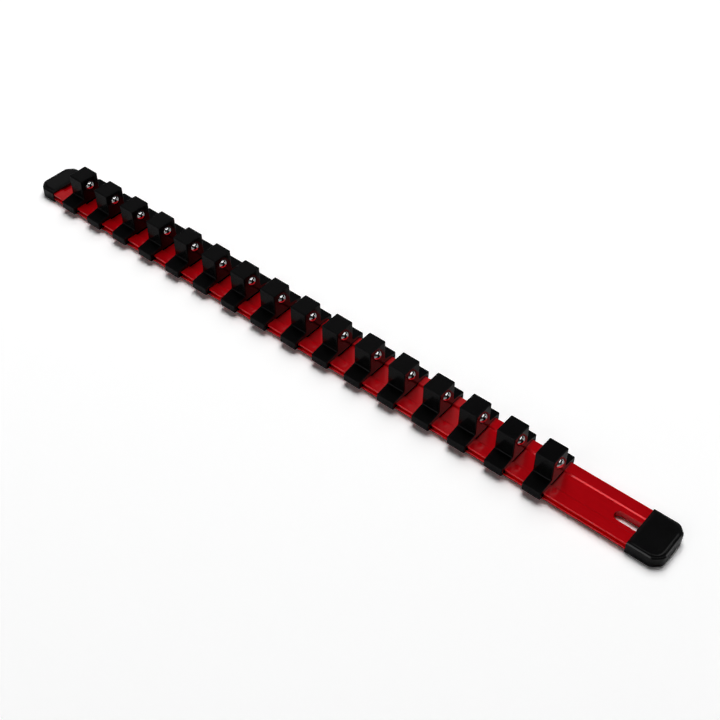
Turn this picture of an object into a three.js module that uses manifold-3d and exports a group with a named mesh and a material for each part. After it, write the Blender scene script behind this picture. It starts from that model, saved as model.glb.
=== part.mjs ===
// A socket rail: an extruded aluminium rail with two push-on end caps, carrying sixteen sliding
// clips, each with a square drive post that holds its socket on a sprung ball.
// Sizes are in millimetres. X runs along the rail towards the end with the hanging slot, Z is up, and the
// origin is the centre of the footprint on the surface that the end caps stand on.
import * as THREE from 'three';
import { mergeVertices } from 'three/addons/utils/BufferGeometryUtils.js';
import Module from 'manifold-3d';

const wasm = await Module();
wasm.setup();

// Rail extrusion
const exposedRailLength = 414.2;
const railWidth = 25.5;
const railHeight = 5;
const railEdgeRadius = 0.35;
const upperFlangeThickness = 1.3;
const sideGrooveHeight = 2.3;
const sideGrooveDepth = 2.3;
const recessWidth = 12.2;
const recessDepth = 1;
const recessWallDraft = 0.55;
const recessEdgeRadius = 0.2;

// Hanging slot through the recess floor
const slotWidth = 5.8;
const slotShowingLength = 14;
const slotCoveredLength = 5.5;
const slotRimChamfer = 0.3;

// End caps
const nearCapLength = 18.5;
const farCapLength = 14.2;
const capFitClearance = 0.1;
const capSideWall = 0.55;
const capFloorWall = 0.7;
const capRoofWall = 1;
const capTopChamfer = 0.7;
const capFootChamfer = 0.4;
const capCornerCut = 4.4;
const capCornerRadius = 2.4;
const capNoseWall = 0.6;

// Crowned pad on top of each cap
const padInset = 1.5;
const padInnerInset = 0.5;
const padNoseRadius = 5.6;
const padInnerRadius = 1.8;
const padStep = 0.45;
const padCrown = 0.25;
const padCrownReach = 0.8;

// Clips
const clipPitch = 23;
const firstClipDistance = 17;
const leastBareLength = 40;
const clipLength = 11;
const clipClearance = 0.3;
const postWidth = 13;
const postHeight = 16.5;
const postTopRadius = 0.7;
const footCreaseHeight = 3.2;
const footCreaseRadius = 0.9;
const footEdgeHeight = 1.6;
const footEdgeRadius = 0.4;
const clipLegThickness = 2.45;
const clipLegDrop = 3.2;
const hookBite = 2;
const hookLeadIn = 0.6;

// Sprung ball in the post's end face
const ballDiameter = 6;
const ballHeight = 10.5;
const ballProtrusion = 1.5;
const ballBoreClearance = 0.25;
const ballMouthRadius = 2.9;
const ballMouthDepth = 0.3;
const ballLipTaper = 0.5;
const countersinkRadius = 3.6;
const boreBackWall = 1.8;

// Ball spring
const springWire = 0.6;
const springOuterDiameter = 5;
const springCurls = 3;
const springEndClearance = 0.3;

// Fineness of the round shapes
const filletSteps = 2;
const padCornerSteps = 4;
const crownSteps = 3;
const boreSides = 16;
const slotEndSteps = 8;
const ballSides = 12;
const ballRings = 8;
const curlSteps = 8;
const wireSides = 5;

// How far a cutting shape runs past the face that it opens
const overrun = 2;

// Heights and lengths worked out from the sizes above
const railBottom = capFloorWall + capFitClearance;
const railTop = railBottom + railHeight;
const totalLength = farCapLength + exposedRailLength + nearCapLength;
const farCapInnerEnd = farCapLength - totalLength / 2;
const nearCapInnerEnd = totalLength / 2 - nearCapLength;
const clipRunLength = exposedRailLength - firstClipDistance - clipLength / 2 - leastBareLength;
const clipCount = 1 + Math.floor(clipRunLength / clipPitch);
const ballRadius = ballDiameter / 2;
const ballCentre = clipLength / 2 + ballProtrusion - ballRadius;

const red = new THREE.MeshStandardMaterial({ color: 0xb00818, roughness: 0.32, metalness: 0.7 });
const clipBlack = new THREE.MeshStandardMaterial({ color: 0x17181a, roughness: 0.3, metalness: 0 });
const capBlack = new THREE.MeshStandardMaterial({ color: 0x141517, roughness: 0.25, metalness: 0 });
const chrome = new THREE.MeshStandardMaterial({ color: 0xd8dadd, roughness: 0.08, metalness: 1 });
const springSteel = new THREE.MeshStandardMaterial({ color: 0x8c9094, roughness: 0.4, metalness: 1 });

// Turns a profile drawn in Y and Z, and extruded along the third axis, so that it runs along X
const profileToRail = new THREE.Matrix4().makeBasis(
  new THREE.Vector3(0, 1, 0),
  new THREE.Vector3(0, 0, 1),
  new THREE.Vector3(1, 0, 0),
);

// A closed outline from corners of [across, up, corner radius]
function outline(corners) {
  const shape = new THREE.Shape();
  corners.forEach(([across, up, radius = 0], index) => {
    const corner = new THREE.Vector2(across, up);
    const before = corners[(index + corners.length - 1) % corners.length];
    const after = corners[(index + 1) % corners.length];
    const back = new THREE.Vector2(before[0], before[1]).sub(corner).normalize();
    const ahead = new THREE.Vector2(after[0], after[1]).sub(corner).normalize();
    const turn = Math.PI - Math.acos(back.dot(ahead));
    const reach = radius * Math.tan(turn / 2);
    const start = corner.clone().addScaledVector(back, reach);
    if (index === 0) {
      shape.moveTo(start.x, start.y);
    } else {
      shape.lineTo(start.x, start.y);
    }
    if (reach > 0) {
      const end = corner.clone().addScaledVector(ahead, reach);
      shape.quadraticCurveTo(corner.x, corner.y, end.x, end.y);
    }
  });
  shape.closePath();
  return shape;
}

// An outline that is the same on both sides of the middle, from the corners of its right side
function mirroredOutline(rightSide) {
  const leftSide = rightSide.map(([across, up, radius]) => [-across, up, radius]).reverse();
  return outline([...rightSide, ...leftSide]);
}

// Runs a profile of Y and Z along X, from one place to another
function alongRail(shape, from, to) {
  const geometry = new THREE.ExtrudeGeometry(shape, {
    depth: to - from,
    bevelEnabled: false,
    curveSegments: filletSteps,
  });
  geometry.applyMatrix4(profileToRail);
  geometry.translate(from, 0, 0);
  return geometry;
}

// A box between two corners
function boxBetween(low, high) {
  const geometry = new THREE.BoxGeometry(high[0] - low[0], high[1] - low[1], high[2] - low[2]);
  geometry.translate((low[0] + high[0]) / 2, (low[1] + high[1]) / 2, (low[2] + high[2]) / 2);
  return geometry;
}

// The geometry with its shared corners merged and its empty triangles left out
function welded(geometry) {
  const bare = geometry.clone();
  bare.deleteAttribute('normal');
  bare.deleteAttribute('uv');
  const merged = mergeVertices(bare);
  const kept = [];
  for (let at = 0; at < merged.index.count; at += 3) {
    const [a, b, c] = [merged.index.getX(at), merged.index.getX(at + 1), merged.index.getX(at + 2)];
    if (a !== b && b !== c && c !== a) {
      kept.push(a, b, c);
    }
  }
  merged.setIndex(kept);
  return merged;
}

function toSolid(geometry) {
  const closed = welded(geometry);
  const vertProperties = new Float32Array(closed.attributes.position.array);
  const triVerts = new Uint32Array(closed.index.array);
  return new wasm.Manifold(new wasm.Mesh({ numProp: 3, vertProperties, triVerts }));
}

function toGeometry(solid) {
  const mesh = solid.getMesh();
  const geometry = new THREE.BufferGeometry();
  geometry.setAttribute('position', new THREE.BufferAttribute(new Float32Array(mesh.vertProperties), 3));
  geometry.setIndex(new THREE.BufferAttribute(new Uint32Array(mesh.triVerts), 1));
  return geometry;
}

// The rail's section: two flanges with a groove between them on each side, and a shallow recess on top
function railProfile() {
  const edge = railWidth / 2;
  const waist = edge - sideGrooveDepth;
  const recessLip = recessWidth / 2;
  const grooveTop = railTop - upperFlangeThickness;
  const grooveBottom = grooveTop - sideGrooveHeight;
  return mirroredOutline([
    [edge, railBottom, railEdgeRadius],
    [edge, grooveBottom, railEdgeRadius],
    [waist, grooveBottom],
    [waist, grooveTop],
    [edge, grooveTop, railEdgeRadius],
    [edge, railTop, railEdgeRadius],
    [recessLip, railTop, recessEdgeRadius],
    [recessLip - recessWallDraft, railTop - recessDepth],
  ]);
}

// The hanging slot's plan, a straight slot with round ends
function slotPlan() {
  const radius = slotWidth / 2;
  const start = nearCapInnerEnd - slotShowingLength + radius;
  const end = nearCapInnerEnd + slotCoveredLength - radius;
  const shape = new THREE.Shape();
  shape.absarc(start, 0, radius, Math.PI / 2, Math.PI * 1.5, false);
  shape.absarc(end, 0, radius, -Math.PI / 2, Math.PI / 2, false);
  shape.closePath();
  return shape;
}

// The slot's cutting shape, with a chamfer round its rim on the recess floor
function slotCutter() {
  const floor = railTop - recessDepth;
  const through = new THREE.ExtrudeGeometry(slotPlan(), {
    depth: railTop - railBottom + overrun,
    bevelEnabled: false,
    curveSegments: slotEndSteps,
  });
  through.translate(0, 0, railBottom - overrun / 2);
  const rim = new THREE.ExtrudeGeometry(slotPlan(), {
    depth: recessDepth,
    bevelThickness: slotRimChamfer,
    bevelSize: slotRimChamfer,
    bevelSegments: 1,
    curveSegments: slotEndSteps,
  });
  rim.translate(0, 0, floor);
  return toSolid(through).add(toSolid(rim));
}

// How deep the rail's end goes into a cap of a given length
function pocketDepth(capLength) {
  return capLength - capCornerCut - capNoseWall;
}

function makeRail() {
  const farEnd = farCapInnerEnd - pocketDepth(farCapLength) + capFitClearance;
  const nearEnd = nearCapInnerEnd + pocketDepth(nearCapLength) - capFitClearance;
  const bar = toSolid(alongRail(railProfile(), farEnd, nearEnd));
  return toGeometry(bar.subtract(slotCutter()));
}

// A cap's plan, from its open end to its nose, whose corners are cut and softened
function capPlan(length) {
  const side = railWidth / 2 + capFitClearance + capSideWall;
  return outline([
    [-overrun, -side],
    [length - capCornerCut, -side, capCornerRadius],
    [length, capCornerCut - side, capCornerRadius],
    [length, side - capCornerCut, capCornerRadius],
    [length - capCornerCut, side, capCornerRadius],
    [-overrun, side],
  ]);
}

// A cap's plan raised between two heights, with every edge of its ends chamfered
function raisedPlan(length, bottom, top, chamfer) {
  const geometry = new THREE.ExtrudeGeometry(capPlan(length), {
    depth: top - bottom - 2 * chamfer,
    bevelThickness: chamfer,
    bevelSize: chamfer,
    bevelOffset: -chamfer,
    bevelSegments: 1,
    curveSegments: filletSteps,
  });
  geometry.translate(0, 0, bottom + chamfer);
  return toSolid(geometry);
}

// The pad that stands on a cap's roof, with large nose corners and a top that rolls over at its edge
function padSolid(length, roof) {
  const side = railWidth / 2 + capFitClearance + capSideWall - padInset;
  const nose = length - padInset;
  const plan = outline([
    [padInnerInset, -side, padInnerRadius],
    [nose, -side, padNoseRadius],
    [nose, side, padNoseRadius],
    [padInnerInset, side, padInnerRadius],
  ]);
  const geometry = new THREE.ExtrudeGeometry(plan, {
    depth: capRoofWall + padStep,
    bevelThickness: padCrown,
    bevelSize: padCrownReach,
    bevelOffset: -padCrownReach,
    bevelSegments: crownSteps,
    curveSegments: padCornerSteps,
  });
  geometry.translate(0, 0, roof - capRoofWall);
  return toSolid(geometry);
}

// A push-on cap with its open end at X = 0 and its nose towards +X
function capSolid(length) {
  const top = railTop + capFitClearance + capRoofWall;
  const side = railWidth / 2 + capFitClearance;
  const chamfered = raisedPlan(length, -overrun - capTopChamfer, top, capTopChamfer);
  const footed = raisedPlan(length, 0, top + overrun + capFootChamfer, capFootChamfer);
  const beyond = boxBetween([-2 * overrun, -railWidth, -overrun], [0, railWidth, top + overrun]);
  const pocket = boxBetween(
    [-overrun, -side, capFloorWall],
    [pocketDepth(length), side, railTop + capFitClearance],
  );
  const moulding = chamfered.intersect(footed).add(padSolid(length, top));
  return moulding.subtract(toSolid(beyond)).subtract(toSolid(pocket));
}

// A clip's section: the post above, and below it two feet whose legs hook into the rail's side grooves
function clipProfile() {
  const legInside = railWidth / 2 + clipClearance;
  const legOutside = legInside + clipLegThickness;
  const legBottom = railTop - clipLegDrop;
  const hookTop = railTop - upperFlangeThickness - clipClearance;
  const hookTip = railWidth / 2 - hookBite;
  return mirroredOutline([
    [legInside, railTop + clipClearance],
    [legInside, hookTop],
    [hookTip, hookTop],
    [hookTip, legBottom + hookLeadIn],
    [hookTip + hookLeadIn, legBottom],
    [legOutside, legBottom, footEdgeRadius],
    [legOutside, railTop + footEdgeHeight, footEdgeRadius],
    [postWidth / 2, railTop + footCreaseHeight, footCreaseRadius],
    [postWidth / 2, railTop + postHeight, postTopRadius],
  ]);
}

// The blind bore for the ball and its spring, with the lip that keeps the ball in and a countersink
function ballBore() {
  const face = clipLength / 2;
  const boreRadius = ballRadius + ballBoreClearance;
  const steps = [
    [0, boreBackWall - face],
    [boreRadius, boreBackWall - face],
    [boreRadius, face - ballMouthDepth - ballLipTaper],
    [ballMouthRadius, face - ballMouthDepth],
    [countersinkRadius, face],
    [countersinkRadius, face + overrun],
    [0, face + overrun],
  ];
  const section = steps.map(([radius, along]) => new THREE.Vector2(radius, along));
  const geometry = new THREE.LatheGeometry(section, boreSides);
  geometry.rotateZ(-Math.PI / 2);
  geometry.translate(0, 0, railTop + ballHeight);
  return toSolid(geometry);
}

function makeClip() {
  const moulding = toSolid(alongRail(clipProfile(), -clipLength / 2, clipLength / 2));
  return toGeometry(moulding.subtract(ballBore()));
}

function makeBall() {
  const geometry = new THREE.SphereGeometry(ballRadius, ballSides, ballRings);
  geometry.rotateZ(-Math.PI / 2);
  geometry.translate(ballCentre, 0, railTop + ballHeight);
  return toGeometry(toSolid(geometry));
}

// The spring's centre line: an even coil between the bore's back wall and the ball
function springLine() {
  const radius = (springOuterDiameter - springWire) / 2;
  const wireRadius = springWire / 2;
  const seat = boreBackWall - clipLength / 2 + springEndClearance + wireRadius;
  const standOff = ballRadius + springEndClearance + wireRadius;
  const tip = ballCentre - Math.sqrt(standOff * standOff - radius * radius);
  const points = [];
  for (let step = 0; step <= springCurls * curlSteps; step += 1) {
    const angle = (step / curlSteps) * Math.PI * 2;
    const along = seat + ((tip - seat) * step) / (springCurls * curlSteps);
    points.push(new THREE.Vector3(along, radius * Math.cos(angle), radius * Math.sin(angle)));
  }
  return points;
}

// The least distance from one curl's wire to the next one's
function leastSpringGap(line) {
  let least = Infinity;
  line.forEach((point, index) => {
    for (let other = index + curlSteps / 2 + 1; other < line.length; other += 1) {
      least = Math.min(least, point.distanceTo(line[other]) - springWire);
    }
  });
  return least;
}

// One round wire along the spring's centre line, closed at both ends
function makeSpring() {
  const line = springLine();
  const corners = [];
  const faces = [];
  line.forEach((point, index) => {
    const before = line[Math.max(index - 1, 0)];
    const after = line[Math.min(index + 1, line.length - 1)];
    const heading = after.clone().sub(before).normalize();
    const outward = new THREE.Vector3(0, point.y, point.z).normalize();
    const sideways = new THREE.Vector3().crossVectors(heading, outward).normalize();
    for (let side = 0; side < wireSides; side += 1) {
      const angle = (side / wireSides) * Math.PI * 2;
      const corner = point.clone();
      corner.addScaledVector(outward, (springWire / 2) * Math.cos(angle));
      corner.addScaledVector(sideways, (springWire / 2) * Math.sin(angle));
      corners.push(corner.x, corner.y, corner.z + railTop + ballHeight);
    }
  });
  for (let ring = 0; ring < line.length - 1; ring += 1) {
    for (let side = 0; side < wireSides; side += 1) {
      const next = (side + 1) % wireSides;
      const [a, b] = [ring * wireSides + side, ring * wireSides + next];
      const [c, d] = [a + wireSides, b + wireSides];
      faces.push(a, b, d, a, d, c);
    }
  }
  const last = (line.length - 1) * wireSides;
  for (let side = 1; side < wireSides - 1; side += 1) {
    faces.push(0, side + 1, side);
    faces.push(last, last + side, last + side + 1);
  }
  const geometry = new THREE.BufferGeometry();
  geometry.setAttribute('position', new THREE.Float32BufferAttribute(corners, 3));
  geometry.setIndex(faces);
  return geometry;
}

const assembly = new THREE.Group();

function place(name, geometry, material, along = 0) {
  const mesh = new THREE.Mesh(geometry, material);
  mesh.name = name;
  mesh.position.x = along;
  assembly.add(mesh);
  return mesh;
}

place('rail', makeRail(), red);
place('end_cap_near', toGeometry(capSolid(nearCapLength)), capBlack, nearCapInnerEnd);
const farCap = place('end_cap_far', toGeometry(capSolid(farCapLength)), capBlack, farCapInnerEnd);
farCap.rotation.z = Math.PI;

for (let index = 0; index < clipCount; index += 1) {
  const number = String(index + 1).padStart(2, '0');
  const along = farCapInnerEnd + firstClipDistance + index * clipPitch;
  place(`clip_${number}`, makeClip(), clipBlack, along);
  place(`ball_${number}`, makeBall(), chrome, along);
  place(`spring_${number}`, makeSpring(), springSteel, along);
}

console.log(`least gap between spring curls: ${leastSpringGap(springLine()).toFixed(3)} mm`);

export default assembly;
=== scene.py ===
"""Looks of a socket rail: a red anodised aluminium rail with black moulded end caps and sixteen black
clips, each with a polished ball in the end face of its post."""

import math

import bmesh
import bpy
from bpy.props import FloatProperty, FloatVectorProperty, IntProperty, PointerProperty
from mathutils import Matrix, Vector


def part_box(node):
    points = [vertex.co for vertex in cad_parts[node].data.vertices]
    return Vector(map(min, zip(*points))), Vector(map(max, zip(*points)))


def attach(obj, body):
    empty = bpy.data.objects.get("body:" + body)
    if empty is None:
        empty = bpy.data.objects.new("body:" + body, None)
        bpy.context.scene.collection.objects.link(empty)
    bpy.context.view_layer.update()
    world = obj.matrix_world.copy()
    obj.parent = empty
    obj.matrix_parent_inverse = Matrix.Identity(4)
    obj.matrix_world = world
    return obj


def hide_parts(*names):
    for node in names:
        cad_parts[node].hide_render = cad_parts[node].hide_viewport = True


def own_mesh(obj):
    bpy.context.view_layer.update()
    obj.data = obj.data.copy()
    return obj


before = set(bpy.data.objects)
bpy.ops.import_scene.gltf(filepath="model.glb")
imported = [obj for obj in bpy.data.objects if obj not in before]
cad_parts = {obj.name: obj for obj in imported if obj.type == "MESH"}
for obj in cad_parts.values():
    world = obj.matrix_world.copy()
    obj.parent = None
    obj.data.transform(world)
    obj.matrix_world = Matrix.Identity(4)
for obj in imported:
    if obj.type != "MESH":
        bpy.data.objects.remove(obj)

bl_info = {
    "name": "Socket Rail",
    "version": (1, 0, 0),
    "blender": (4, 5, 0),
    "location": "View3D > Sidebar > Socket Rail",
    "description": "Builds the finished look of a socket rail around its packed frame",
    "category": "Object",
}

RAIL_LOW, RAIL_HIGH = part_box("rail")
NEAR_LOW, NEAR_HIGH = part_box("end_cap_near")
FAR_LOW, FAR_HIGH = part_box("end_cap_far")
CLIP_NODES = sorted(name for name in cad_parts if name.startswith("clip_"))
CLIP_LOW, CLIP_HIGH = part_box(CLIP_NODES[0])
BALL_LOW, BALL_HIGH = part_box(CLIP_NODES[0].replace("clip", "ball"))
RAIL_TOP = RAIL_HIGH.z
BALL_CENTRE = (BALL_LOW + BALL_HIGH) / 2

# Lengths in metres within which two places count as one
PLACE_SLACK = 1e-5
SEAM_SLACK = 1e-6
MERGE_SLACK = 1e-7

# Steps that make a chamfer, and each kind of round stretch
CHAMFER_STEPS = 1
CORNER_STEPS = 5
EDGE_STEPS = 4
SOFT_EDGE_STEPS = 3
SLOT_END_STEPS = 12
PAD_NOSE_STEPS = 12
PAD_INNER_STEPS = 6
CROWN_STEPS = 9
BORE_SIDES = 48
BALL_MERIDIANS = 40
BALL_PARALLELS = 24
CURL_STEPS = 24
WIRE_SIDES = 10

# Degrees past which an edge between two faces stays sharp
METAL_CREASE = 35
CLIP_CREASE = 35
CAP_CREASE = 40

# Share of the slot's half width that its corners are rounded by, a little less than all
SLOT_END_SHARE = 0.999

# Middle stretch of a noise's values, which a finish is spread over
NOISE_LOW = 0.3
NOISE_HIGH = 0.7

# Numbers of a Mix node's two colour inputs and of its colour output
MIX_FIRST = 6
MIX_SECOND = 7
MIX_RESULT = 2


def length(name, description, default):
    """A size property in metres."""
    return FloatProperty(name=name, description=description, default=default, unit="LENGTH", precision=5)


def colour(name, description, default):
    """A linear colour property."""
    return FloatVectorProperty(name=name, description=description, default=default, size=3, subtype="COLOR")


def share(name, description, default):
    """A property from 0 to 1."""
    return FloatProperty(name=name, description=description, default=default, subtype="FACTOR", min=0, max=1)


class RailSettings(bpy.types.PropertyGroup):
    """Sizes and colours of the extruded rail."""

    edge_radius: length("Edge radius", "Radius of the flanges' outer edges", 0.00035)
    lip_radius: length("Lip radius", "Radius of the recess's top edges", 0.0003)
    root_radius: length("Root radius", "Fillet at the foot of the recess's walls", 0.0003)
    flange: length("Upper flange", "Thickness of the flange above the side groove", 0.0013)
    groove_height: length("Groove height", "Height of the side groove", 0.0023)
    groove_depth: length("Groove depth", "Depth of the side groove", 0.0023)
    groove_radius: length("Groove radius", "Fillet inside the side groove", 0.0003)
    recess_width: length("Recess width", "Width of the recess at the rail's top", 0.0122)
    recess_depth: length("Recess depth", "Depth of the recess", 0.001)
    recess_draft: length("Recess draft", "How far the recess's walls lean in", 0.00055)
    slot_width: length("Slot width", "Width of the hanging slot", 0.0058)
    slot_showing: length("Slot showing", "Length of the slot before the near cap", 0.014)
    slot_covered: length("Slot covered", "Length of the slot under the near cap", 0.0055)
    slot_rim: length("Slot rim", "Size of the rounded rim round the slot", 0.0003)
    colour: colour("Red", "Colour of the anodised surface", (0.95, 0.0008, 0.008))
    metal: share("Metal", "How metallic the anodised surface is", 0.7)
    roughness: share("Roughness", "Roughness of the anodised surface", 0.31)
    shine: share("Shine", "Strength of the red layer's own reflections", 0.1)
    coat: share("Coat", "Strength of the clear sealed skin", 0.9)
    coat_roughness: share("Coat roughness", "Roughness of the clear sealed skin", 0.05)
    coat_index: FloatProperty(name="Coat index", description="Refractive index of the skin", default=1.6)
    line_depth: length("Draw line depth", "Depth of the extrusion's fine lines", 0.00002)


class CapSettings(bpy.types.PropertyGroup):
    """Sizes and colours of the two end caps."""

    wall: length("Wall", "Thickness of the side walls", 0.00055)
    floor: length("Floor", "Thickness under the rail", 0.0007)
    fit: length("Fit", "Clearance round the rail", 0.0001)
    corner_cut: length("Corner cut", "How much the nose's corners are cut", 0.0044)
    corner_radius: length("Corner radius", "Softening of the cut corners", 0.0015)
    band: length("Band", "Width of the chamfered band round the roof", 0.0007)
    foot: length("Foot rounding", "Radius round the underside", 0.0004)
    softening: length("Softening", "Radius along the moulding's edges", 0.00012)
    pad_inset: length("Pad inset", "Distance from the cap's sides to the pad", 0.0015)
    pad_inner_inset: length("Pad inner inset", "Distance from the cap's open end to the pad", 0.0005)
    pad_nose_radius: length("Pad nose radius", "Radius of the pad's nose corners", 0.0056)
    pad_inner_radius: length("Pad inner radius", "Radius of the pad's inner corners", 0.0018)
    pad_height: length("Pad height", "Height of the pad over the roof", 0.0007)
    pad_step: length("Pad step", "Height of the pad's upright edge", 0.0001)
    crown_reach: length("Crown reach", "How far in the pad's top rolls over", 0.0015)
    colour: colour("Black", "Colour of the moulded plastic", (0.0035, 0.0035, 0.0037))
    roughness: share("Roughness", "Roughness of the moulded plastic", 0.17)
    shine: share("Shine", "Strength of the plastic's reflections", 0.28)
    grain: FloatProperty(name="Grain", description="Marks of the mould in a metre", default=900)
    grain_depth: length("Grain depth", "Depth of the mould's grain", 0.00001)


class ClipSettings(bpy.types.PropertyGroup):
    """Sizes and colours of the sliding clips."""

    clearance: length("Clearance", "Running clearance beside and under the rail's flange", 0.0003)
    ceiling_gap: length("Ceiling gap", "Gap over the rail's top", 0.00015)
    post_width: length("Post width", "Width of the square post across the rail", 0.013)
    crease_height: length("Crease height", "Height of the foot at the post, over the rail", 0.0032)
    crease_radius: length("Crease radius", "Fillet between post and foot", 0.0006)
    foot_height: length("Foot height", "Height of the foot's outer edge over the rail", 0.0016)
    foot_radius: length("Foot radius", "Radius of the foot's outer edges", 0.0004)
    post_radius: length("Post radius", "Radius of the post's top edges", 0.0007)
    leg_thickness: length("Leg thickness", "Thickness of the legs", 0.00245)
    hook_bite: length("Hook bite", "How far the hooks reach into the side grooves", 0.002)
    hook_lead: length("Hook lead-in", "Chamfer under the hooks", 0.0006)
    hook_radius: length("Hook radius", "Radius of the hooks' corners", 0.0002)
    post_rounding: length("Post rounding", "Radius round the post's end faces", 0.0006)
    foot_rounding: length("Foot rounding", "Radius round the feet's and legs' ends", 0.0004)
    softening: length("Softening", "Radius of the other end edges", 0.00012)
    colour: colour("Black", "Colour of the moulded plastic", (0.003, 0.003, 0.0032))
    roughness: share("Roughness", "Roughness of the moulded plastic", 0.16)
    shine: share("Shine", "Strength of the plastic's reflections", 0.12)
    grain: FloatProperty(name="Grain", description="Marks of the mould in a metre", default=1400)
    grain_depth: length("Grain depth", "Depth of the mould's grain", 0.00001)


class BallSettings(bpy.types.PropertyGroup):
    """Sizes and colours of the sprung balls, their bores and their springs."""

    bore_clearance: length("Bore clearance", "Radial clearance between ball and bore", 0.00025)
    mouth_radius: length("Mouth radius", "Radius of the lip that keeps the ball in", 0.0029)
    mouth_depth: length("Mouth depth", "Depth of the countersink", 0.0003)
    lip_taper: length("Lip taper", "Length of the taper behind the lip", 0.0005)
    countersink: length("Countersink", "Outer radius of the countersink", 0.0036)
    back_wall: length("Back wall", "Wall behind the bore", 0.0018)
    wire: length("Wire", "Thickness of the spring's wire", 0.0006)
    coil: length("Coil", "Outer diameter of the spring", 0.005)
    curls: IntProperty(name="Curls", description="Turns of the spring", default=3, min=1)
    colour: colour("Steel", "Colour of the polished balls", (0.86, 0.86, 0.87))
    roughness: share("Roughness", "Roughness of the polished balls", 0.05)
    spring_colour: colour("Wire colour", "Colour of the spring's wire", (0.42, 0.43, 0.45))
    spring_roughness: share("Wire roughness", "Roughness of the spring's wire", 0.36)


class StageSettings(bpy.types.PropertyGroup):
    """Camera, floor and surroundings."""

    camera_place: FloatVectorProperty(
        name="Camera place", description="Where the camera stands", size=3, subtype="TRANSLATION",
        default=(0.31635, -0.34414, 0.46050),
    )
    camera_turn: FloatVectorProperty(
        name="Camera turn", description="How the camera is turned", size=3, subtype="EULER",
        default=[math.radians(angle) for angle in (44.4631, -0.2199, 39.9027)],
    )
    lens: FloatProperty(name="Lens", description="Focal length in millimetres", default=58.775)
    film_width: FloatProperty(name="Film width", description="Film's width in millimetres", default=36.0)
    sight: length("Sight", "How far the camera sees", 20.0)
    floor_size: length("Floor size", "Width of the floor", 12.0)
    floor_colour: colour("Floor", "Colour of the floor", (1.18, 1.18, 1.18))
    shadow_reach: length("Shadow reach", "How far from its middle the floor starts to turn white", 0.27)
    white_reach: length("White reach", "How far from its middle the floor is wholly white", 0.6)
    mirrored_floor: colour("Mirrored floor", "Colour of the floor in reflections", (0.34, 0.34, 0.34))
    horizon_light: share("Horizon light", "Strength of the surroundings' light at the horizon", 0.03)
    sky_light: share("Sky light", "Strength of the surroundings' light overhead", 0.015)


def add_node(tree, kind, inputs=None, **settings):
    """A new node with some of its own settings, and values for some of its inputs."""
    made = tree.nodes.new(kind)
    for name, value in settings.items():
        setattr(made, name, value)
    for name, value in (inputs or {}).items():
        made.inputs[name].default_value = value
    return made


def join_all(tree, *joins):
    """Joins pairs of an output and an input."""
    for source, target in joins:
        tree.links.new(source, target)


class Finish:
    """A material under construction, with short ways to give it its colour, roughness and relief."""

    def __init__(self, name):
        self.material = bpy.data.materials.new(name)
        self.material.use_nodes = True
        self.tree = self.material.node_tree
        self.shader = self.tree.nodes["Principled BSDF"]

    def set(self, values):
        """Sets inputs of the shader by their names."""
        for name, value in values.items():
            self.shader.inputs[name].default_value = value

    def noise(self, stretch, detail, place=(0, 0, 0)):
        """Noise on object coordinates, with its own number of features per metre along each axis."""
        where = add_node(self.tree, "ShaderNodeTexCoord")
        mapping = add_node(self.tree, "ShaderNodeMapping", {"Scale": stretch, "Location": place})
        noise = add_node(self.tree, "ShaderNodeTexNoise", {"Scale": 1.0, "Detail": detail})
        join_all(
            self.tree,
            (where.outputs["Object"], mapping.inputs["Vector"]),
            (mapping.outputs["Vector"], noise.inputs["Vector"]),
        )
        return noise.outputs["Fac"]

    def vary_roughness(self, factor, roughness, less, more):
        """Spreads the roughness between a little less and a little more than its value."""
        spread = add_node(self.tree, "ShaderNodeMapRange", {
            "From Min": NOISE_LOW,
            "From Max": NOISE_HIGH,
            "To Min": roughness - less,
            "To Max": roughness + more,
        })
        join_all(
            self.tree,
            (factor, spread.inputs["Value"]),
            (spread.outputs["Result"], self.shader.inputs["Roughness"]),
        )

    def tint(self, factor, base, dark, light):
        """Mixes the base colour between a darker and a lighter shade of itself."""
        shades = {MIX_FIRST: shade(base, dark), MIX_SECOND: shade(base, light)}
        mix = add_node(self.tree, "ShaderNodeMix", shades, data_type="RGBA")
        join_all(
            self.tree,
            (factor, mix.inputs["Factor"]),
            (mix.outputs[MIX_RESULT], self.shader.inputs["Base Color"]),
        )

    def relieve(self, height, depth, strength):
        """Gives the surface a fine relief."""
        relief = add_node(self.tree, "ShaderNodeBump", {"Strength": strength, "Distance": depth})
        join_all(
            self.tree,
            (height, relief.inputs["Height"]),
            (relief.outputs["Normal"], self.shader.inputs["Normal"]),
        )


def shade(base, factor=1.0):
    """A colour times a factor, with full alpha."""
    return [channel * factor for channel in base] + [1.0]


def anodised_finish(settings):
    """Red anodised aluminium with the fine draw lines of an extrusion under a clear sealed skin."""
    finish = Finish("red anodised aluminium")
    lines = finish.noise(stretch=(40, 5200, 5200), detail=2)
    cloud = finish.noise(stretch=(220, 220, 220), detail=2, place=(3, 1, 2))
    finish.tint(lines, settings.colour, dark=0.86, light=1.12)
    finish.vary_roughness(cloud, settings.roughness, less=0.03, more=0.03)
    finish.relieve(lines, depth=settings.line_depth, strength=0.04)
    finish.set({
        "Metallic": settings.metal,
        "Specular IOR Level": settings.shine,
        "Coat Weight": settings.coat,
        "Coat Roughness": settings.coat_roughness,
        "Coat IOR": settings.coat_index,
    })
    return finish.material


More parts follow.
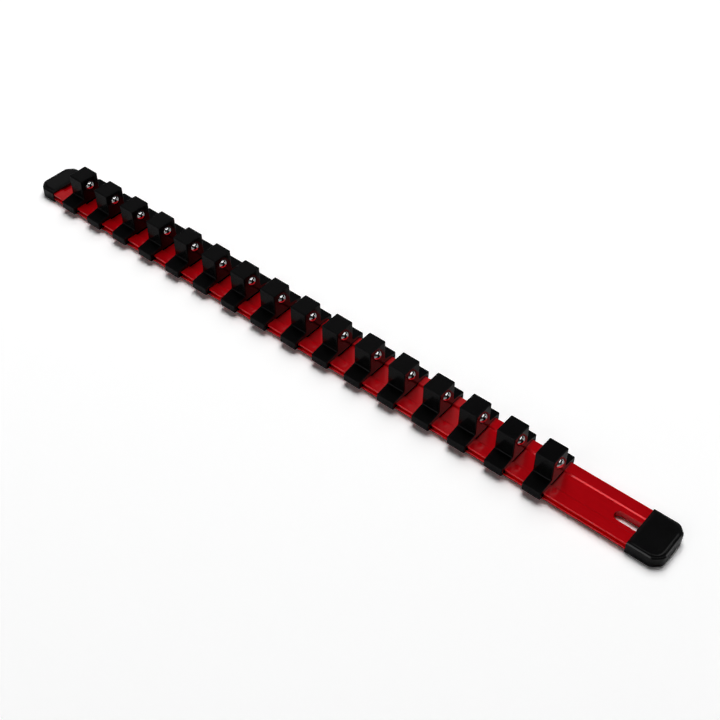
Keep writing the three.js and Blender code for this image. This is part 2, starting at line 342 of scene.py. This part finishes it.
def plastic_finish(name, settings):
    """Black moulded plastic: smooth, with a faint unevenness from the mould."""
    finish = Finish(name)
    grain = finish.noise(stretch=(settings.grain, settings.grain, settings.grain), detail=3)
    cloud = finish.noise(stretch=(130, 130, 130), detail=2, place=(5, 2, 1))
    finish.tint(cloud, settings.colour, dark=0.85, light=1.15)
    finish.vary_roughness(cloud, settings.roughness, less=0.03, more=0.04)
    finish.relieve(grain, depth=settings.grain_depth, strength=0.12)
    finish.set({"Specular IOR Level": settings.shine})
    return finish.material


def polished_finish(settings):
    """Mirror-polished steel with the faintest haze."""
    finish = Finish("polished ball steel")
    haze = finish.noise(stretch=(900, 900, 900), detail=2)
    finish.tint(haze, settings.colour, dark=0.97, light=1)
    finish.vary_roughness(haze, settings.roughness, less=0.015, more=0.02)
    finish.set({"Metallic": 1.0})
    return finish.material


def wire_finish(settings):
    """Drawn spring wire."""
    finish = Finish("drawn spring wire")
    streaks = finish.noise(stretch=(2500, 2500, 2500), detail=2)
    finish.tint(streaks, settings.spring_colour, dark=0.8, light=1)
    finish.vary_roughness(streaks, settings.spring_roughness, less=0.06, more=0.06)
    finish.set({"Metallic": 1.0})
    return finish.material


def outline_face(bm, corners, place):
    """One face from its corners, where place turns a corner's two numbers into a point."""
    return bm.faces.new([bm.verts.new(place(*corner)) for corner in corners])


def round_corner(bm, target, radius, steps):
    """Rounds the corner of a flat outline that stands nearest to a point."""
    corner = min(bm.verts, key=lambda vert: (vert.co - target).length)
    round_corners(bm, [corner], radius, steps)


def round_corners(bm, corners, radius, steps):
    """Rounds some corners of a flat outline."""
    bmesh.ops.bevel(
        bm, geom=corners, offset=radius, offset_type="OFFSET", segments=steps, profile=0.5,
        affect="VERTICES", material=-1,
    )


def section_point(across, up):
    """A point of a section across the rail."""
    return Vector((0, across, up))


def plan_point(along, across):
    """A point of a plan, seen from above."""
    return Vector((along, across, 0))


def both_sides(right):
    """The corners of the right side, then the left side's, round a section."""
    return right + [(-across, up) for across, up in reversed(right)]


def sweep(bm, step):
    """Extrudes the one face of an outline by a step, and keeps it, so that the start is closed."""
    grown = bmesh.ops.extrude_face_region(bm, geom=bm.faces[:], use_keep_orig=True)
    moved = [item for item in grown["geom"] if isinstance(item, bmesh.types.BMVert)]
    bmesh.ops.translate(bm, verts=moved, vec=step)
    bmesh.ops.recalc_face_normals(bm, faces=bm.faces[:])


def swept_section(corners, low, high):
    """A bar between two places along the rail, from its right half's corners: across, up and radius."""
    bm = bmesh.new()
    outline_face(bm, both_sides([(across, up) for across, up, radius in corners]), section_point)
    for across, up, radius in corners:
        for mirrored in (across, -across):
            round_corner(bm, section_point(mirrored, up), radius, CORNER_STEPS)
    bmesh.ops.translate(bm, verts=bm.verts[:], vec=(low, 0, 0))
    sweep(bm, (high - low, 0, 0))
    return bm


def soften(bm, edges, radius, steps):
    """Rounds some edges, or chamfers them in one step."""
    bmesh.ops.bevel(
        bm, geom=edges, offset=radius, offset_type="OFFSET", segments=steps, profile=0.5,
        affect="EDGES", clamp_overlap=True, material=-1,
    )


def close_to(value, target):
    """Whether two places along an axis count as one."""
    return abs(value - target) < PLACE_SLACK


def edges_where(bm, test):
    """The edges whose two ends pass a test."""
    return [edge for edge in bm.edges if all(test(vert.co) for vert in edge.verts)]


def to_object(bm, name):
    """Makes a mesh object from a bmesh, which it frees."""
    mesh = bpy.data.meshes.new(name)
    bm.to_mesh(mesh)
    bm.free()
    made = bpy.data.objects.new(name, mesh)
    bpy.context.scene.collection.objects.link(made)
    return made


def shaped(piece):
    """Turns what a piece's modifiers make of it into its mesh."""
    graph = bpy.context.evaluated_depsgraph_get()
    mesh = bpy.data.meshes.new_from_object(piece.evaluated_get(graph))
    piece.modifiers.clear()
    piece.data = mesh
    return piece


def combined(target, other, operation):
    """Cuts or joins one object with another, which is removed."""
    modifier = target.modifiers.new("boolean", "BOOLEAN")
    modifier.object = other
    modifier.operation = operation
    modifier.solver = "EXACT"
    shaped(target)
    bpy.data.objects.remove(other)
    return target


def reopened(piece):
    """A bmesh of a piece's mesh, with its doubles merged."""
    bm = bmesh.new()
    bm.from_mesh(piece.data)
    bmesh.ops.remove_doubles(bm, verts=bm.verts[:], dist=MERGE_SLACK)
    return bm


def smooth_shaded(piece, angle):
    """Smooth shading up to an angle, with flat faces kept flat."""
    piece.data.shade_smooth()
    piece.data.set_sharp_from_angle(angle=math.radians(angle))
    weighting = piece.modifiers.new("weighted normals", "WEIGHTED_NORMAL")
    weighting.keep_sharp = True


def settle(piece, body, nodes, material):
    """Gives a piece its finish, its body and the CAD nodes that it stands for."""
    piece.data.materials.clear()
    piece.data.materials.append(material)
    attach(piece, body)
    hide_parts(*nodes)


def shifted_copy(source, name, along):
    """A copy of a piece with its mesh moved along the rail."""
    made = bpy.data.objects.new(name, source.data.copy())
    made.data.transform(Matrix.Translation((along, 0, 0)))
    bpy.context.scene.collection.objects.link(made)
    return made


def slot_ends(settings):
    """Where the hanging slot starts and ends along the rail."""
    return NEAR_LOW.x - settings.slot_showing, NEAR_LOW.x + settings.slot_covered


def slot_shape(settings, low, high):
    """The hanging slot as a solid between two heights."""
    start, end = slot_ends(settings)
    radius = settings.slot_width / 2
    bm = bmesh.new()
    outline_face(bm, [(start, -radius), (end, -radius), (end, radius), (start, radius)], plan_point)
    round_corners(bm, bm.verts[:], radius * SLOT_END_SHARE, SLOT_END_STEPS)
    bmesh.ops.remove_doubles(bm, verts=bm.verts[:], dist=SEAM_SLACK)
    bmesh.ops.translate(bm, verts=bm.verts[:], vec=(0, 0, low))
    sweep(bm, (0, 0, high - low))
    return to_object(bm, "slot cutter")


class SOCKETRAIL_OT_rail(bpy.types.Operator):
    """Build the extruded rail with its recess, side grooves and hanging slot"""

    bl_idname = "socket_rail.rail"
    bl_label = "Rail"

    def execute(self, context):
        size = context.scene.rail_settings
        edge, top, bottom = RAIL_HIGH.y, RAIL_TOP, RAIL_LOW.z
        waist = edge - size.groove_depth
        groove_top = top - size.flange
        groove_bottom = groove_top - size.groove_height
        lip = size.recess_width / 2
        root = lip - size.recess_draft
        floor = top - size.recess_depth
        corners = [
            (edge, bottom, size.edge_radius), (edge, groove_bottom, size.edge_radius),
            (waist, groove_bottom, size.groove_radius), (waist, groove_top, size.groove_radius),
            (edge, groove_top, size.edge_radius), (edge, top, size.edge_radius),
            (lip, top, size.lip_radius), (root, floor, size.root_radius),
        ]
        rail = to_object(swept_section(corners, RAIL_LOW.x, RAIL_HIGH.x), "extruded_rail")
        combined(rail, slot_shape(size, bottom - size.slot_width, top + size.slot_width), "DIFFERENCE")
        radius = size.slot_width / 2
        start, end = slot_ends(size)

        def on_rim(point):
            """Whether a point is on the slot's edge in the recess's floor."""
            is_along = start - PLACE_SLACK < point.x < end + PLACE_SLACK
            return close_to(point.z, floor) and abs(point.y) < radius + PLACE_SLACK and is_along

        bm = reopened(rail)
        soften(bm, edges_where(bm, on_rim), size.slot_rim, EDGE_STEPS)
        bm.to_mesh(rail.data)
        bm.free()
        smooth_shaded(rail, METAL_CREASE)
        settle(rail, "rail", ["rail"], anodised_finish(size))
        return {"FINISHED"}


def cap_plan(bm, size, reach, side):
    """The flat outline of a cap with cut, softened nose corners."""
    corners = [
        (0, -side), (reach - size.corner_cut, -side), (reach, size.corner_cut - side),
        (reach, side - size.corner_cut), (reach - size.corner_cut, side), (0, side),
    ]
    outline_face(bm, corners, plan_point)
    for along, across in corners[1:-1]:
        round_corner(bm, plan_point(along, across), size.corner_radius, CORNER_STEPS)


def cap_body(size, reach, side, roof):
    """The cap's block, with a chamfered band round its roof and a rounded foot."""
    bm = bmesh.new()
    cap_plan(bm, size, reach, side)
    sweep(bm, (0, 0, roof))

    def rim(height):
        """The edges at a height, without those of the open end."""
        open_end = edges_where(bm, lambda point: close_to(point.x, 0))
        level = edges_where(bm, lambda point: close_to(point.z, height))
        return [edge for edge in level if edge not in open_end]

    soften(bm, rim(roof), size.band, CHAMFER_STEPS)
    soften(bm, rim(0), size.foot, SOFT_EDGE_STEPS)
    soften(bm, rim(roof) + rim(roof - size.band), size.softening, SOFT_EDGE_STEPS)
    return to_object(bm, "cap body")


def cap_pad(size, reach, side, roof):
    """The pad on the cap's roof, whose top rolls over into a soft crown."""
    inner, outer = size.pad_inner_inset, reach - size.pad_inset
    edge = side - size.pad_inset
    bm = bmesh.new()
    outline_face(bm, [(inner, -edge), (outer, -edge), (outer, edge), (inner, edge)], plan_point)
    for across in (-edge, edge):
        round_corner(bm, plan_point(outer, across), size.pad_nose_radius, PAD_NOSE_STEPS)
        round_corner(bm, plan_point(inner, across), size.pad_inner_radius, PAD_INNER_STEPS)
    bmesh.ops.translate(bm, verts=bm.verts[:], vec=(0, 0, roof - size.band))
    sweep(bm, (0, 0, size.band + size.pad_step))
    top = max(bm.faces, key=lambda face: face.calc_center_median().z)
    rise = size.pad_height - size.pad_step
    quarter = math.pi / 2
    for step in range(CROWN_STEPS):
        low = quarter * step / CROWN_STEPS
        high = quarter * (step + 1) / CROWN_STEPS
        bmesh.ops.inset_region(
            bm, faces=[top], thickness=size.crown_reach * (math.cos(low) - math.cos(high)),
            depth=rise * (math.sin(high) - math.sin(low)), use_even_offset=True,
        )
    return to_object(bm, "cap pad")


def pocket(size, reach):
    """The space that the rail's end takes up in a cap."""
    bm = bmesh.new()
    bmesh.ops.create_cube(bm, size=1)
    high = RAIL_TOP + size.fit
    depth = reach - size.corner_cut - size.wall
    width = 2 * (RAIL_HIGH.y + size.fit)
    bmesh.ops.scale(bm, vec=(2 * depth, width, high - size.floor), verts=bm.verts[:])
    bmesh.ops.translate(bm, vec=(0, 0, (high + size.floor) / 2), verts=bm.verts[:])
    return to_object(bm, "pocket cutter")


def make_cap(size, name, low, high, nose):
    """One end cap between its CAD corners, with its nose towards +X or -X."""
    reach, side = high.x - low.x, high.y
    roof = high.z - size.pad_height
    cap = cap_body(size, reach, side, roof)
    cap.name = name
    combined(cap, cap_pad(size, reach, side, roof), "UNION")
    combined(cap, pocket(size, reach), "DIFFERENCE")
    if nose > 0:
        cap.data.transform(Matrix.Translation((low.x, 0, 0)))
    else:
        cap.data.transform(Matrix.Translation((high.x, 0, 0)) @ Matrix.Rotation(math.pi, 4, "Z"))
    smooth_shaded(cap, CAP_CREASE)
    return cap


class SOCKETRAIL_OT_end_caps(bpy.types.Operator):
    """Build the two push-on end caps"""

    bl_idname = "socket_rail.end_caps"
    bl_label = "End caps"

    def execute(self, context):
        size = context.scene.cap_settings
        material = plastic_finish("black cap plastic", size)
        near = make_cap(size, "near_end_cap", NEAR_LOW, NEAR_HIGH, 1)
        far = make_cap(size, "far_end_cap", FAR_LOW, FAR_HIGH, -1)
        settle(near, "rail", ["end_cap_near"], material)
        settle(far, "rail", ["end_cap_far"], material)
        return {"FINISHED"}


def clip_body(size):
    """The clip's moulding, swept along the rail between the first clip's ends."""
    rail_side = RAIL_HIGH.y
    inside = rail_side + size.clearance
    outside = inside + size.leg_thickness
    ceiling = RAIL_TOP + size.ceiling_gap
    hook_top = RAIL_TOP - bpy.context.scene.rail_settings.flange - size.clearance
    hook_tip = rail_side - size.hook_bite
    bottom = CLIP_LOW.z
    half_post = size.post_width / 2
    corners = [
        (inside, ceiling, size.hook_radius), (inside, hook_top, size.hook_radius),
        (hook_tip, hook_top, size.hook_radius), (hook_tip, bottom + size.hook_lead, size.hook_radius),
        (hook_tip + size.hook_lead, bottom, size.hook_radius), (outside, bottom, size.foot_radius),
        (outside, RAIL_TOP + size.foot_height, size.foot_radius),
        (half_post, RAIL_TOP + size.crease_height, size.crease_radius),
        (half_post, CLIP_HIGH.z, size.post_radius),
    ]
    post_foot = RAIL_TOP + size.crease_height + size.crease_radius / 2

    def end_rounding(across, up):
        """The radius of the end edge at a place of the section."""
        if up > post_foot:
            return size.post_rounding
        is_foot = across > half_post - PLACE_SLACK and up > RAIL_TOP + size.clearance
        is_leg = across > outside - size.leg_thickness / 2
        return size.foot_rounding if is_foot or is_leg else size.softening

    bm = swept_section(corners, CLIP_LOW.x, CLIP_HIGH.x)
    weights = bm.edges.layers.float.new("bevel_weight_edge")
    for edge in bm.edges:
        start, end = (vert.co for vert in edge.verts)
        if close_to(start.x, end.x):
            radius = end_rounding(abs(start.y + end.y) / 2, (start.z + end.z) / 2)
            edge[weights] = radius / size.post_rounding
    clip = to_object(bm, "clip moulding")
    rounding = clip.modifiers.new("edge rounding", "BEVEL")
    rounding.limit_method = "WEIGHT"
    rounding.width = size.post_rounding
    rounding.segments = EDGE_STEPS
    rounding.use_clamp_overlap = False
    return shaped(clip)


def spun_section(corners, sides):
    """A closed shape spun round the ball's axis from corners of radius and place along the rail."""
    bm = bmesh.new()
    line = [bm.verts.new((along, radius, 0)) for radius, along in corners]
    for first, second in zip(line, line[1:]):
        bm.edges.new((first, second))
    bmesh.ops.spin(
        bm, geom=bm.verts[:] + bm.edges[:], cent=(0, 0, 0), axis=(1, 0, 0), angle=math.tau, steps=sides,
        use_merge=True, use_duplicate=False,
    )
    bmesh.ops.remove_doubles(bm, verts=bm.verts[:], dist=MERGE_SLACK)
    bmesh.ops.recalc_face_normals(bm, faces=bm.faces[:])
    bmesh.ops.translate(bm, verts=bm.verts[:], vec=(0, 0, BALL_CENTRE.z))
    return bm


def ball_bore(size):
    """The blind bore with its keeping lip and countersink, as a cutter."""
    face = CLIP_HIGH.x
    back = CLIP_LOW.x + size.back_wall
    radius = (BALL_HIGH.z - BALL_LOW.z) / 2 + size.bore_clearance
    outside = face + size.countersink
    corners = [
        (0, back), (radius, back), (radius, face - size.mouth_depth - size.lip_taper),
        (size.mouth_radius, face - size.mouth_depth), (size.countersink, face),
        (size.countersink, outside), (0, outside),
    ]
    return to_object(spun_section(corners, BORE_SIDES), "bore cutter")


class SOCKETRAIL_OT_clips(bpy.types.Operator):
    """Build the sliding clips with their square posts, feet and hooked legs"""

    bl_idname = "socket_rail.clips"
    bl_label = "Clips"

    def execute(self, context):
        size = context.scene.clip_settings
        first = combined(clip_body(size), ball_bore(context.scene.ball_settings), "DIFFERENCE")
        material = plastic_finish("black clip plastic", size)
        for node in CLIP_NODES:
            number = node.split("_")[1]
            clip = shifted_copy(first, f"post_clip_{number}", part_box(node)[0].x - CLIP_LOW.x)
            smooth_shaded(clip, CLIP_CREASE)
            settle(clip, node, [node], material)
        bpy.data.objects.remove(first)
        return {"FINISHED"}


class SOCKETRAIL_OT_balls(bpy.types.Operator):
    """Build the polished balls"""

    bl_idname = "socket_rail.balls"
    bl_label = "Balls"

    def execute(self, context):
        settings = context.scene.ball_settings
        material = polished_finish(settings)
        for node in CLIP_NODES:
            ball_node = node.replace("clip", "ball")
            low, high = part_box(ball_node)
            bm = bmesh.new()
            bmesh.ops.create_uvsphere(
                bm, u_segments=BALL_MERIDIANS, v_segments=BALL_PARALLELS, radius=(high.z - low.z) / 2,
            )
            upright_to_along = Matrix.Rotation(math.pi / 2, 3, "Y")
            bmesh.ops.rotate(bm, verts=bm.verts[:], cent=(0, 0, 0), matrix=upright_to_along)
            bmesh.ops.translate(bm, verts=bm.verts[:], vec=(low + high) / 2)
            ball = to_object(bm, f"steel_{ball_node}")
            ball.data.shade_smooth()
            settle(ball, ball_node, [ball_node], material)
        return {"FINISHED"}


class SOCKETRAIL_OT_springs(bpy.types.Operator):
    """Build the coil springs behind the balls"""

    bl_idname = "socket_rail.springs"
    bl_label = "Springs"

    def execute(self, context):
        settings = context.scene.ball_settings
        material = wire_finish(settings)
        for node in CLIP_NODES:
            spring_node = node.replace("clip", "spring")
            low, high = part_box(spring_node)
            wire = settings.wire / 2
            radius = settings.coil / 2 - wire
            steps = settings.curls * CURL_STEPS
            advance = (high.x - low.x - settings.wire) / steps
            bm = bmesh.new()
            bmesh.ops.create_circle(bm, cap_ends=False, segments=WIRE_SIDES, radius=wire)
            bmesh.ops.translate(bm, verts=bm.verts[:], vec=(low.x + wire, radius, BALL_CENTRE.z))
            bmesh.ops.spin(
                bm, geom=bm.verts[:] + bm.edges[:], cent=(0, 0, BALL_CENTRE.z), axis=(1, 0, 0),
                dvec=(advance, 0, 0), angle=math.tau * settings.curls, steps=steps, use_duplicate=False,
            )
            bmesh.ops.holes_fill(bm, edges=[edge for edge in bm.edges if edge.is_boundary], sides=WIRE_SIDES)
            bmesh.ops.recalc_face_normals(bm, faces=bm.faces[:])
            spring = to_object(bm, f"coil_{spring_node}")
            spring.data.shade_smooth()
            settle(spring, node, [spring_node], material)
            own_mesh(spring)
        return {"FINISHED"}


def add_area(name, place, size, power):
    """A rectangular lamp that looks at the middle of the object's footprint."""
    lamp = bpy.data.lights.new(name, "AREA")
    lamp.shape = "RECTANGLE"
    lamp.size, lamp.size_y = size
    lamp.energy = power
    made = bpy.data.objects.new(name, lamp)
    made.location = place
    made.rotation_euler = Vector(place).to_track_quat("Z", "Y").to_euler()
    bpy.context.scene.collection.objects.link(made)
    return made


def add_soft_light(name, place, size, power):
    """A lamp that lights the surfaces and casts the shadows, and isn't mirrored."""
    add_area(name, place, size, power).visible_glossy = False


def add_card(name, place, size, power):
    """A pale card that only shows in reflections."""
    add_area(name, place, size, power).visible_diffuse = False


def floor_material(settings):
    """A white floor with the object's shadow, wholly white far from it, and mirrored dimly."""
    material = bpy.data.materials.new("white floor")
    material.use_nodes = True
    tree = material.node_tree
    tree.nodes.clear()
    rays = add_node(tree, "ShaderNodeLightPath")
    shades = {MIX_FIRST: shade(settings.floor_colour), MIX_SECOND: shade(settings.mirrored_floor)}
    mix = add_node(tree, "ShaderNodeMix", shades, data_type="RGBA")
    paint = add_node(tree, "ShaderNodeBsdfDiffuse")
    where = add_node(tree, "ShaderNodeTexCoord")
    distance = add_node(tree, "ShaderNodeVectorMath", operation="LENGTH")
    reach = {"From Min": settings.shadow_reach, "From Max": settings.white_reach}
    fade = add_node(tree, "ShaderNodeMapRange", reach, interpolation_type="SMOOTHSTEP")
    seen = add_node(tree, "ShaderNodeMath", operation="MULTIPLY")
    white = add_node(tree, "ShaderNodeEmission")
    surface = add_node(tree, "ShaderNodeMixShader")
    output = add_node(tree, "ShaderNodeOutputMaterial")
    join_all(
        tree,
        (rays.outputs["Is Glossy Ray"], mix.inputs["Factor"]),
        (mix.outputs[MIX_RESULT], paint.inputs["Color"]),
        (where.outputs["Object"], distance.inputs[0]),
        (distance.outputs["Value"], fade.inputs["Value"]),
        (fade.outputs["Result"], seen.inputs[0]),
        (rays.outputs["Is Camera Ray"], seen.inputs[1]),
        (seen.outputs["Value"], surface.inputs["Fac"]),
        (paint.outputs["BSDF"], surface.inputs[1]),
        (white.outputs["Emission"], surface.inputs[2]),
        (surface.outputs["Shader"], output.inputs["Surface"]),
    )
    return material


def studio_world(settings):
    """White behind the object, and a faint light for all else, strongest at the horizon."""
    world = bpy.data.worlds.new("studio")
    world.use_nodes = True
    bpy.context.scene.world = world
    tree = world.node_tree
    tree.nodes.clear()
    where = add_node(tree, "ShaderNodeTexCoord")
    parts = add_node(tree, "ShaderNodeSeparateXYZ")
    strengths = {"To Min": settings.horizon_light, "To Max": settings.sky_light}
    height = add_node(tree, "ShaderNodeMapRange", strengths)
    dim = add_node(tree, "ShaderNodeBackground", {"Color": (1, 1, 1, 1)})
    bright = add_node(tree, "ShaderNodeBackground", {"Color": (1, 1, 1, 1), "Strength": 1.0})
    rays = add_node(tree, "ShaderNodeLightPath")
    switch = add_node(tree, "ShaderNodeMixShader")
    output = add_node(tree, "ShaderNodeOutputWorld")
    join_all(
        tree,
        (where.outputs["Generated"], parts.inputs["Vector"]),
        (parts.outputs["Z"], height.inputs["Value"]),
        (height.outputs["Result"], dim.inputs["Strength"]),
        (rays.outputs["Is Camera Ray"], switch.inputs["Fac"]),
        (dim.outputs["Background"], switch.inputs[1]),
        (bright.outputs["Background"], switch.inputs[2]),
        (switch.outputs["Shader"], output.inputs["Surface"]),
    )


class SOCKETRAIL_OT_stage(bpy.types.Operator):
    """Set up the camera, the pale floor, the lamps and the world"""

    bl_idname = "socket_rail.stage"
    bl_label = "Stage"

    def execute(self, context):
        scene = context.scene
        settings = scene.stage_settings
        scene.view_settings.view_transform = "Standard"
        data = bpy.data.cameras.new("camera")
        data.lens = settings.lens
        data.sensor_width = settings.film_width
        data.clip_end = settings.sight
        camera = bpy.data.objects.new("camera", data)
        camera.location = settings.camera_place
        camera.rotation_euler = settings.camera_turn
        scene.collection.objects.link(camera)
        scene.camera = camera
        bm = bmesh.new()
        bmesh.ops.create_grid(bm, x_segments=2, y_segments=2, size=settings.floor_size / 2)
        floor = to_object(bm, "floor")
        floor.data.materials.append(floor_material(settings))
        studio_world(settings)
        add_soft_light("overhead soft light", place=(-0.4, 0.85, 3.0), size=(1.9, 1.1), power=63)
        add_soft_light("back soft light", place=(-1.1, 2.2, 3.0), size=(2.8, 1.4), power=48)
        add_soft_light("front soft light", place=(-0.6, -2.4, 1.8), size=(1.5, 1.0), power=7)
        add_card("side card", place=(1.6, 0.55, 2.35), size=(3.3, 1.0), power=13)
        add_card("left card", place=(-1.75, 1.5, 1.95), size=(1.5, 1.2), power=1)
        add_card("overhead card", place=(0.9, -0.9, 2.7), size=(1.2, 0.7), power=6)
        add_card("brow card", place=(-0.5, -2.3, 1.85), size=(1.8, 0.6), power=8)
        add_card("front card", place=(-0.75, -2.8, 0.7), size=(3.6, 1.3), power=18)
        add_card("corner card", place=(2.58, 1.76, 0.54), size=(0.7, 0.35), power=2)
        return {"FINISHED"}


OPERATORS = (
    SOCKETRAIL_OT_stage, SOCKETRAIL_OT_rail, SOCKETRAIL_OT_end_caps, SOCKETRAIL_OT_clips,
    SOCKETRAIL_OT_balls, SOCKETRAIL_OT_springs,
)


class SOCKETRAIL_PT_panel(bpy.types.Panel):
    """Lists the steps that build the socket rail"""

    bl_idname = "SOCKETRAIL_PT_panel"
    bl_label = "Socket Rail"
    bl_space_type = "VIEW_3D"
    bl_region_type = "UI"
    bl_category = "Socket Rail"

    def draw(self, context):
        for operator in OPERATORS:
            self.layout.operator(operator.bl_idname)


SETTINGS = {
    "rail_settings": RailSettings,
    "cap_settings": CapSettings,
    "clip_settings": ClipSettings,
    "ball_settings": BallSettings,
    "stage_settings": StageSettings,
}


def register():
    """Makes the settings, the operators and the panel known to Blender."""
    for group in SETTINGS.values():
        bpy.utils.register_class(group)
    for name, group in SETTINGS.items():
        setattr(bpy.types.Scene, name, PointerProperty(type=group))
    for operator in OPERATORS:
        bpy.utils.register_class(operator)
    bpy.utils.register_class(SOCKETRAIL_PT_panel)


def unregister():
    """Takes away what register made known."""
    bpy.utils.unregister_class(SOCKETRAIL_PT_panel)
    for operator in reversed(OPERATORS):
        bpy.utils.unregister_class(operator)
    for name in SETTINGS:
        delattr(bpy.types.Scene, name)
    for group in reversed(SETTINGS.values()):
        bpy.utils.unregister_class(group)


def main():
    """Builds the stage and every piece."""
    register()
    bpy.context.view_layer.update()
    bpy.ops.socket_rail.stage()
    bpy.ops.socket_rail.rail()
    bpy.ops.socket_rail.end_caps()
    bpy.ops.socket_rail.clips()
    bpy.ops.socket_rail.balls()
    bpy.ops.socket_rail.springs()


if __name__ == "__main__":
    main()
